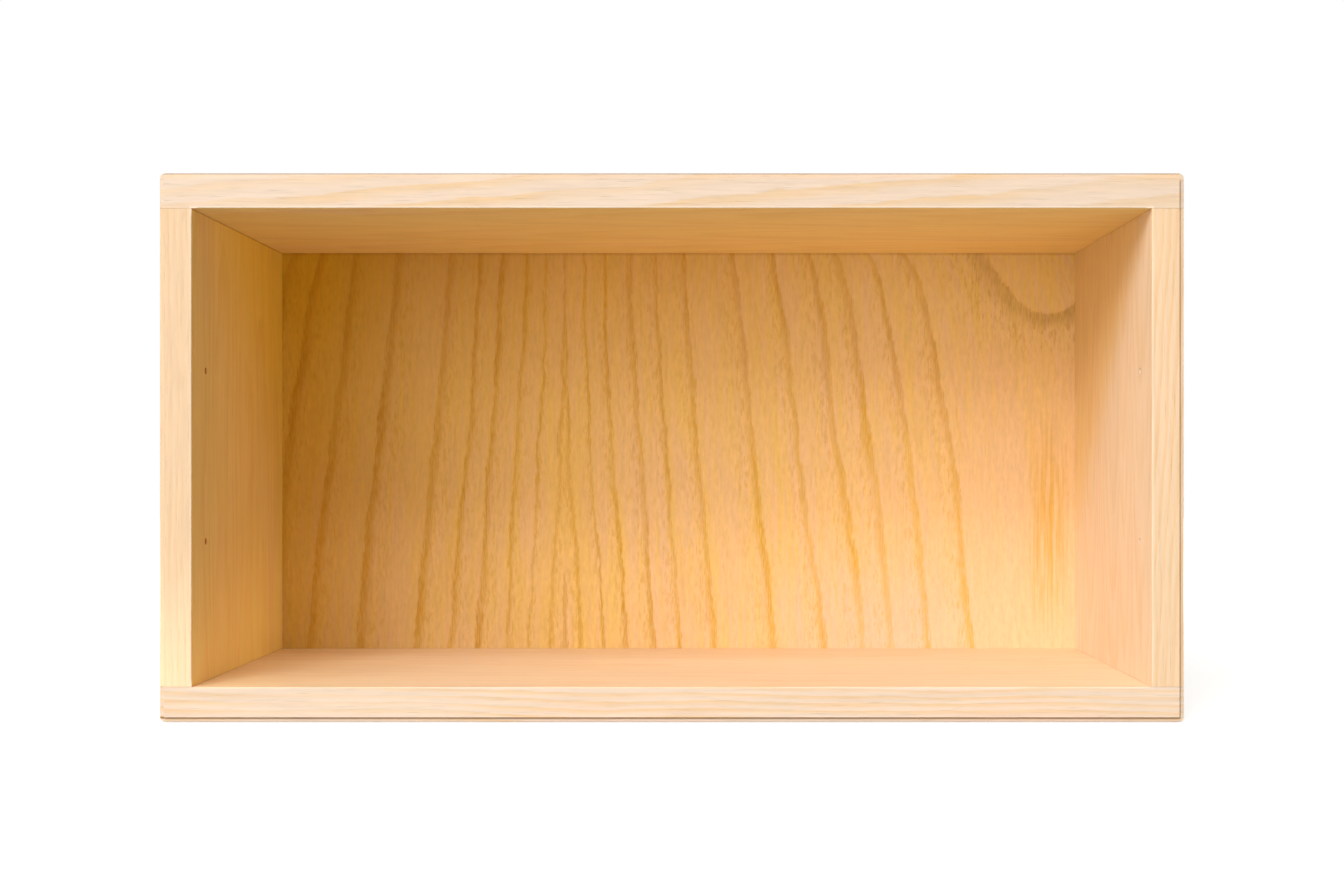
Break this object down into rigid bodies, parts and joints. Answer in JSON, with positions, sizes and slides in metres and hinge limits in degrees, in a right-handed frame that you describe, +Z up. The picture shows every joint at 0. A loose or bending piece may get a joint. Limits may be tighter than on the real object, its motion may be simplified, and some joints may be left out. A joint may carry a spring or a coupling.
{
  "type": "open box shelf",
  "caption": "Open-fronted box shelf in pale ash with a grooved-in veneered back, blind dowelled corners and holes near the front edge for linking boxes.",
  "frame": {"origin": "centre of the footprint, on the underside", "axes": "+X along the width, to the right seen from the front; +Y from the open front to the rear; +Z up"},
  "size_m": [0.75, 0.3, 0.402],
  "materials": {
    "ash": "satin lacquered solid ash, edge-glued staves",
    "ash_veneer": "satin lacquered crown-cut ash veneer",
    "beech": "raw fluted beech dowel"
  },
  "bodies": {
    "root": {"top_board": "ash", "bottom_board": "ash", "left_side": "ash", "right_side": "ash", "back_panel": "ash_veneer", "dowel_top_left_1": "beech", "dowel_top_left_2": "beech", "dowel_top_left_3": "beech", "dowel_top_left_4": "beech", "dowel_top_right_1": "beech", "dowel_top_right_2": "beech", "dowel_top_right_3": "beech", "dowel_top_right_4": "beech", "dowel_bottom_left_1": "beech", "dowel_bottom_left_2": "beech", "dowel_bottom_left_3": "beech", "dowel_bottom_left_4": "beech", "dowel_bottom_right_1": "beech", "dowel_bottom_right_2": "beech", "dowel_bottom_right_3": "beech", "dowel_bottom_right_4": "beech"}
  },
  "joints": []
}
